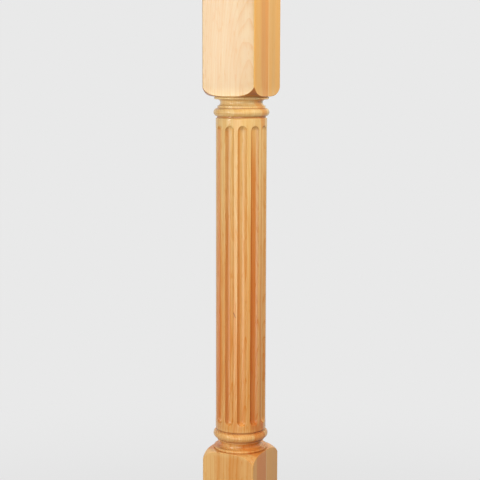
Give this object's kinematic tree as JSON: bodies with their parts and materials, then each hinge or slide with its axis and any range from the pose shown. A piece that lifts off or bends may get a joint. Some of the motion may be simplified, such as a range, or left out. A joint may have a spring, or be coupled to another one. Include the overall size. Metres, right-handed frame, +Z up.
{
  "type": "newel post",
  "caption": "Square wooden newel post: a turned, fluted shaft between plain square blocks, with ring, cove and bead mouldings at both ends of the shaft.",
  "frame": {"origin": "middle of the foot, on the floor", "axes": "+Z up along the post, -Y out of the front face"},
  "size_m": [0.09, 0.09, 1.2],
  "materials": {
    "lacquered_beech": "satin clear lacquer"
  },
  "bodies": {
    "root": {"newel_post": "lacquered_beech"}
  },
  "joints": []
}
